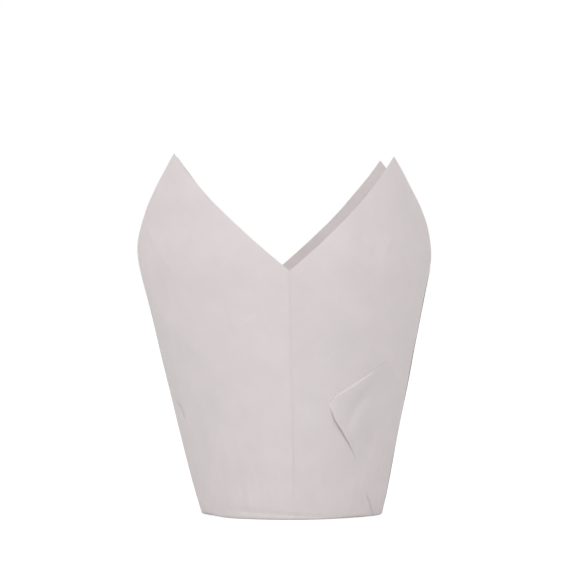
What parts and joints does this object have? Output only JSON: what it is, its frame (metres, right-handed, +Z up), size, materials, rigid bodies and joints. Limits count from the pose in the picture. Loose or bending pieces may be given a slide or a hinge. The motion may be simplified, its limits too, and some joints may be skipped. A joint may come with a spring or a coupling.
{
  "type": "cupcake liner",
  "caption": "Tulip cupcake liner: one square sheet of thin greaseproof paper pressed into a tapered cup with pointed corner petals.",
  "frame": {"origin": "centre of the foot's underside, on the surface it stands on", "axes": "+Z up out of the cup's mouth; -Y is the front of the picture and +X its right"},
  "size_m": [0.0808, 0.0806, 0.1007],
  "materials": {
    "greaseproof_paper": "matt"
  },
  "bodies": {
    "root": {"liner": "greaseproof_paper"}
  },
  "joints": []
}
